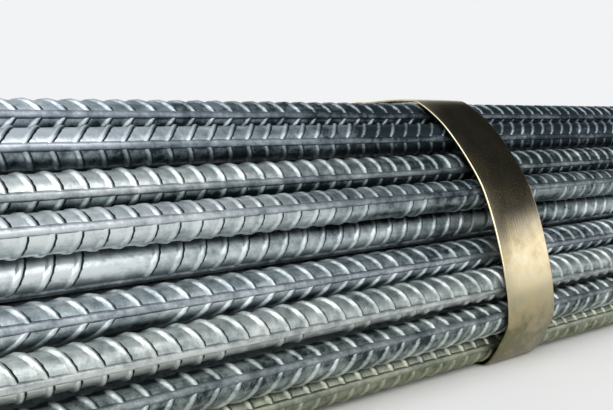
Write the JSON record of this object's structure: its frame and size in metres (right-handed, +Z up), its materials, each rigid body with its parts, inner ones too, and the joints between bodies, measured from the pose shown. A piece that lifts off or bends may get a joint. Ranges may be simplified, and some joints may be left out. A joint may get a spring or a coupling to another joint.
{
  "type": "rebar bundle",
  "caption": "Bundle of straight ribbed steel reinforcing bars lying flat, held together by flat steel straps.",
  "frame": {"origin": "middle of the bundle's length and width, on the floor that the straps stand on", "axes": "+X along the bars; +Z up; the strapped face of the picture looks towards -Y"},
  "size_m": [6.028, 0.1484, 0.1061],
  "materials": {
    "rolled_steel": "hot-rolled bar with blue-grey rolling scale, satin, brighter on the rib crests",
    "strap_steel": "flat steel strapping with a thin olive-gold lacquer, semi-gloss"
  },
  "bodies": {
    "root": {"face_bar_1": "rolled_steel", "face_bar_2": "rolled_steel", "face_bar_3": "rolled_steel", "face_bar_4": "rolled_steel", "face_bar_5": "rolled_steel", "face_bar_6": "rolled_steel", "face_bar_7": "rolled_steel", "face_bar_8": "rolled_steel", "face_bar_9": "rolled_steel", "inner_bars_1": "rolled_steel", "inner_bars_2": "rolled_steel", "inner_bars_3": "rolled_steel", "outer_bars_1": "rolled_steel", "outer_bars_2": "rolled_steel", "strap_1": "strap_steel", "strap_2": "strap_steel", "strap_3": "strap_steel", "strap_4": "strap_steel"}
  },
  "joints": []
}
